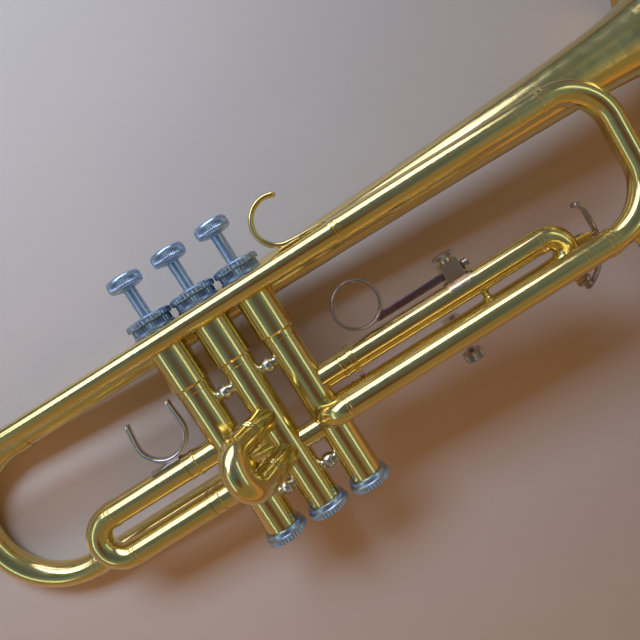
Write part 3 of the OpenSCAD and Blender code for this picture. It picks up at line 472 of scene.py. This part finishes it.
# ---------------------------------------------------------------- valve springs


GUIDE_TOP = -26.35
BARREL_TOP = 0.9
COIL_R = 5.6
WIRE_R = 0.45
TURNS = 9
STEPS_PER_TURN = 28
WIRE_SIDES = 8
END_SHARE = 0.07
END_RISE = 0.035


def spring(name, x):
    """A round wire wound about the valve at x, with closed ends, from its guide to the piston's barrel."""
    n = TURNS * STEPS_PER_TURN
    points, faces = [], []
    for k in range(n + 1):
        a = 2 * math.pi * k / STEPS_PER_TURN
        t = k / n
        lead = min(max((t - END_SHARE) / (1 - 2 * END_SHARE), 0), 1)
        share = (END_RISE * min(t / END_SHARE, 1) + (1 - 2 * END_RISE) * lead
                 + END_RISE * max((t - 1 + END_SHARE) / END_SHARE, 0))
        y = GUIDE_TOP + WIRE_R + (BARREL_TOP - GUIDE_TOP - 2 * WIRE_R) * share
        for q in range(WIRE_SIDES):
            b = 2 * math.pi * q / WIRE_SIDES
            r = COIL_R + WIRE_R * math.cos(b)
            points.append(at(x + r * math.cos(a), y + WIRE_R * math.sin(b), r * math.sin(a)))
    for k in range(n):
        for q in range(WIRE_SIDES):
            p = (q + 1) % WIRE_SIDES
            faces.append((k * WIRE_SIDES + q, k * WIRE_SIDES + p,
                          (k + 1) * WIRE_SIDES + p, (k + 1) * WIRE_SIDES + q))
    faces.append(tuple(range(WIRE_SIDES - 1, -1, -1)))
    faces.append(tuple(n * WIRE_SIDES + q for q in range(WIRE_SIDES)))
    return mesh_object(name, points, faces, MATERIALS["spring_steel"], 60)


for i in (1, 2, 3):
    x = (i - 2) * PITCH
    coil = spring(f"coil_spring_{i}", x)
    stand_in(coil, f"valve_spring_{i}", "body")
    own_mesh(coil)

# ---------------------------------------------------------------- hooks, ring and water keys
brass = MATERIALS["lacquered_brass"]

# The little finger's hook: its arc runs on into a foot that tapers along the leadpipe over a leaf.
foot = [(60 + 2.5 * i, 7.3 - 0.06 * i) for i in range(7)]
hook = swept("hook", arc_points(57.2, 20, 12.5, 66, 270, 40) + foot,
             lambda t: 3.0 - 6.5 * max(0, t - 0.7),
             lambda t: 4.6 - 12 * max(0, t - 0.8), LEAD_Z, brass, 0.85)
leaf = swept("leaf", [(50.5 + 2.5 * i, 6.55) for i in range(9)], 1.4,
             lambda t: 5.6 - 3.4 * t * t, LEAD_Z, brass, 0.7)
stand_in(joined("little_finger_hook", [hook, leaf]), "finger_hook", "body")

# The left thumb's hook: a U on a saddle over the first slide's upper tube.
thumb = swept("thumb", [(-68.1, -29.2), (-68.6, -33), (-69.3, -38)]
              + arc_points(-56, -42.1, 13.7, 180, 360, 36)
              + [(-42.5, -38), (-42.8, -33), (-42.9, -29.2)], 3.1, 6, 0, bright_wire, 0.8)


def saddle(name, x0, x1, centre_y, r0, r1, half, material):
    """A plate curved over the top of a tube that runs along X."""
    n = 14
    points, faces = [], []
    for i in range(n + 1):
        a = math.radians(90 - half + 2 * half * i / n)
        for x, r in ((x0, r0), (x1, r0), (x1, r1), (x0, r1)):
            points.append(at(x, centre_y + r * math.sin(a), r * math.cos(a)))
    for i in range(n):
        for k in range(4):
            j = (k + 1) % 4
            faces.append((i * 4 + k, i * 4 + j, i * 4 + 4 + j, i * 4 + 4 + k))
    faces += [(3, 2, 1, 0), (n * 4, n * 4 + 1, n * 4 + 2, n * 4 + 3)]
    return mesh_object(name, points, faces, material, 30)


seat = saddle("seat", -70, -53, -64.7, 7.02, 8.4, 34, bright_wire)
stand_in(joined("left_thumb_hook", [thumb, seat]), "thumb_hook", "first_slide")

# The third slide's finger ring, on a flat rod that ends in a stop.
hoop = swept("hoop", arc_points(69.9, -38.6, 13.1, 0, 354, 59), 1.9, 5, 0, plated_wire, 0.7, closed=True)
rod = block("rod", (75.5, -52.6, -1.3), (131, -48.4, 1.3), 0.4, rod_painted_reflection)
stop_outline = [(0, 129.4), (2.5, 129.4), (2.9, 129.8), (2.9, 132.6), (2.5, 133), (0, 133)]
stop = turned("stop", (0, -50.5, 0), (1, 0, 0), stop_outline, plated_wire)
stand_in(joined("third_slide_ring", [hoop, rod, stop]), "finger_ring", "ring_rod")

# Sizes shared by the two water keys.
PIN_H = 5.0
REACH = 11.3
THICK = 1.9
STRAIGHT = 9.5
CURL_R = 7.0
CURL = 50
tip_outline = [(0, -2.8), (1.2, -2.8), (1.6, -2.4), (1.6, 2.4), (1.2, 2.8), (0, 2.8)]
barrel_outline = [(0.95, -2.8), (1.8, -2.8), (2.1, -2.5), (2.1, 2.5), (1.8, 2.8), (0.95, 2.8)]
# Radius and height above the bow's outside, from the cork's face to the cup's neck.
cup_outline = [(0, 6.84), (3.9, 6.84), (4.1, 7.1), (4.1, 8.3), (3.8, 8.8), (2.7, 9.5), (2.3, 10.4),
               (2.3, 11.8), (0, 11.8)]
ACROSS = (0, 0, 1)


def water_key(name, centre, outside, nipple, pivot, turn_at, node, body):
    """Lever bent round a bow, with its cup, pivot barrel, web and rolled finger touch.

    outside is the bow's outer radius, and the three angles are where the lever meets the nipple,
    its pin and the straight that leads to the curled touch.
    """
    cx, cy, cz = centre
    r = outside + REACH + THICK / 2
    ca, sa = math.cos(math.radians(turn_at)), math.sin(math.radians(turn_at))
    mid = r - CURL_R - THICK / 2
    curl = (cx + mid * ca - STRAIGHT * sa, cy + mid * sa + STRAIGHT * ca)
    route = (arc_points(cx, cy, r, nipple - 4, turn_at, 24)
             + arc_points(*curl, CURL_R + THICK / 2, turn_at, turn_at + CURL, 10))
    lever = swept("lever", route, THICK, lambda t: 4.4 + 1.2 * max(0, t - 0.6), cz, plated_wire, 0.55)
    tip = turned("tip", (*route[-1], cz), ACROSS, tip_outline, plated_wire)

    out_nipple = (math.cos(math.radians(nipple)), math.sin(math.radians(nipple)), 0)
    cup = turned("cup", centre, out_nipple, [(q, outside + h) for q, h in cup_outline], plated_wire)
    out_x, out_y = math.cos(math.radians(pivot)), math.sin(math.radians(pivot))
    px, py = cx + (outside + PIN_H) * out_x, cy + (outside + PIN_H) * out_y
    barrel = turned("barrel", (px, py, cz), ACROSS, barrel_outline, plated_wire)
    web = swept("web", [(px + 1.6 * out_x, py + 1.6 * out_y),
                        (cx + (r - 0.3) * out_x, cy + (r - 0.3) * out_y)], 2.4, 3.8, cz, plated_wire, 0.4)
    stand_in(joined(name, [lever, tip, cup, barrel, web]), node, body)


water_key("main_key_lever", (197, -49.2, LEAD_Z), 36, -70, -38, -30, "main_water_key", "main_key")
water_key("third_key_lever", (172.7, -71, 0), 16, -66, -6, 0, "third_water_key", "third_key")

# The ring holder's saddle plate wraps further round its tube than a plain block would.
plate = saddle("holder_saddle", 115.4, 130.0, -61.9, 7.02, 7.85, 72, holder_metal)
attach(plate, "third_slide")

# The two holders keep their CAD shape, with their cut edges softened.
for name, width_mm in (("ring_holder", 0.35), ("lyre_holder", 0.4)):
    obj = nodes[name]
    obj.data.materials.clear()
    obj.data.materials.append(holder_metal)
    weld = obj.modifiers.new("weld", "WELD")
    weld.merge_threshold = 1e-6
    flat = obj.modifiers.new("flat", "DECIMATE")
    flat.decimate_type = "DISSOLVE"
    flat.angle_limit = math.radians(1)
    bevel = obj.modifiers.new("bevel", "BEVEL")
    bevel.width = width_mm / 1000
    bevel.segments = 3
    bevel.limit_method = "ANGLE"
    bevel.angle_limit = math.radians(50)
    obj.modifiers.new("normals", "WEIGHTED_NORMAL")

# ---------------------------------------------------------------- table and lights
TABLE = 3.0
corners = [(-TABLE, -TABLE, 0), (TABLE, -TABLE, 0), (TABLE, TABLE, 0), (-TABLE, TABLE, 0)]
floor_mesh = bpy.data.meshes.new("floor")
floor_mesh.from_pydata(corners, [], [(0, 1, 2, 3)])
floor = link("floor", floor_mesh)
table = Nodes("table")
base = table.ramp(table.noise(5, 3, 0.5), [(0.35, (0.76, 0.59, 0.46)), (0.65, (0.79, 0.62, 0.49))])
floor.data.materials.append(table.finish(Base_Color=base, Roughness=0.55, Specular_IOR_Level=0.3))
LIT_POINT = (60, -40, 0)


def soft_light(name, centre, along, width, height, power, colour, diffuse=True, glossy=True):
    """A soft rectangular light at centre (mm), its long side along a direction, facing the trumpet.

    The long strips that the metal mirrors are kept apart from the lights that shade the table.
    """
    data = bpy.data.lights.new(name, "AREA")
    data.shape = "RECTANGLE"
    data.size, data.size_y = width, height
    data.energy = power
    data.color = colour
    obj = bpy.data.objects.new(name, data)
    bpy.context.scene.collection.objects.link(obj)
    z = (at(*centre) - at(*LIT_POINT)).normalized()
    x = TURN @ Vector(along)
    x = (x - z * x.dot(z)).normalized()
    y = z.cross(x)
    obj.matrix_world = Matrix.Translation(at(*centre)) @ Matrix((x, y, z)).transposed().to_4x4()
    obj.visible_diffuse = diffuse
    obj.visible_glossy = glossy


WINDOW_COLOUR = (0.97, 0.95, 1.15)
WINDOW_SLANT = (1.05, 0.35, -0.37)
soft_light("window_low", (-20, 690, 340), WINDOW_SLANT, 1.15, 0.34, 2.5, WINDOW_COLOUR, diffuse=False)
soft_light("window_high", (-20, 560, 520), WINDOW_SLANT, 1.15, 0.12, 2.0, WINDOW_COLOUR, diffuse=False)
soft_light("glow_right", (760, -60, 640), (0, 1, 0), 0.9, 0.12, 0.45, (0.95, 1.0, 0.80), diffuse=False)
soft_light("glow_left", (-700, -40, 560), (0, 1, 0), 0.9, 0.08, 0.40, (0.90, 1.0, 0.85), diffuse=False)
soft_light("window_shade", (-70, 410, 440), (1, 0, 0), 0.42, 0.20, 3.6, (0.44, 0.66, 1.0), glossy=False)
soft_light("room_shade", (0, 0, 1200), (1, 0, 0), 2.0, 2.0, 3.0, (1.0, 0.57, 0.28), glossy=False)
soft_light("table_bounce", (-400, -600, 360), (1, 0, 0), 1.1, 0.4, 1.9, (1.0, 0.60, 0.32), glossy=False)

# ---------------------------------------------------------------- room that the metal mirrors
# Warm near the table, cooler towards the window, dark overhead.
world = bpy.data.worlds.new("world")
bpy.context.scene.world = world
world.use_nodes = True
wt = world.node_tree
background = wt.nodes["Background"]
direction = wt.nodes.new("ShaderNodeTexCoord").outputs["Generated"]


def world_node(kind, values, **settings):
    node = wt.nodes.new(kind)
    for key, value in settings.items():
        setattr(node, key, value)
    for key, value in values.items():
        if isinstance(value, bpy.types.NodeSocket):
            wt.links.new(value, node.inputs[key])
        else:
            node.inputs[key].default_value = value
    return node


def toward(vector, start, end):
    """0 where the direction is further than start from the vector, 1 within end, both as cosines."""
    v = (TURN @ Vector(vector)).normalized()
    dot = world_node("ShaderNodeVectorMath", {0: direction, 1: v}, operation="DOT_PRODUCT")
    lobe = world_node("ShaderNodeMapRange", {0: dot.outputs["Value"], 1: start, 2: end},
                      interpolation_type="SMOOTHSTEP")
    return lobe.outputs[0]


def layer(under, over, fac):
    node = world_node("ShaderNodeMix", {0: fac}, data_type="RGBA")
    for key, value in ((6, under), (7, over)):
        if isinstance(value, bpy.types.NodeSocket):
            wt.links.new(value, node.inputs[key])
        else:
            node.inputs[key].default_value = (*value, 1)
    return node.outputs[2]


sky = layer((0.50, 0.25, 0.09), (0.25, 0.19, 0.11), toward((0, 0, 1), 0.10, 0.45))
sky = layer(sky, (0.13, 0.16, 0.21), toward((0, 1, 0.1), 0.0, 0.8))
sky = layer(sky, (0.17, 0.23, 0.27), toward((-0.75, 0.05, 0.66), 0.82, 0.95))
sky = layer(sky, (0.18, 0.23, 0.25), toward((0.75, 0.0, 0.66), 0.82, 0.95))
sky = layer(sky, (0.095, 0.13, 0.18), toward((0, 0.1, 1), 0.84, 0.93))
sky = layer(sky, (0.13, 0.060, 0.035), toward((0, -0.22, 0.97), 0.955, 0.985))
wt.links.new(sky, background.inputs[0])
background.inputs[1].default_value = 1.0
world.cycles_visibility.diffuse = False
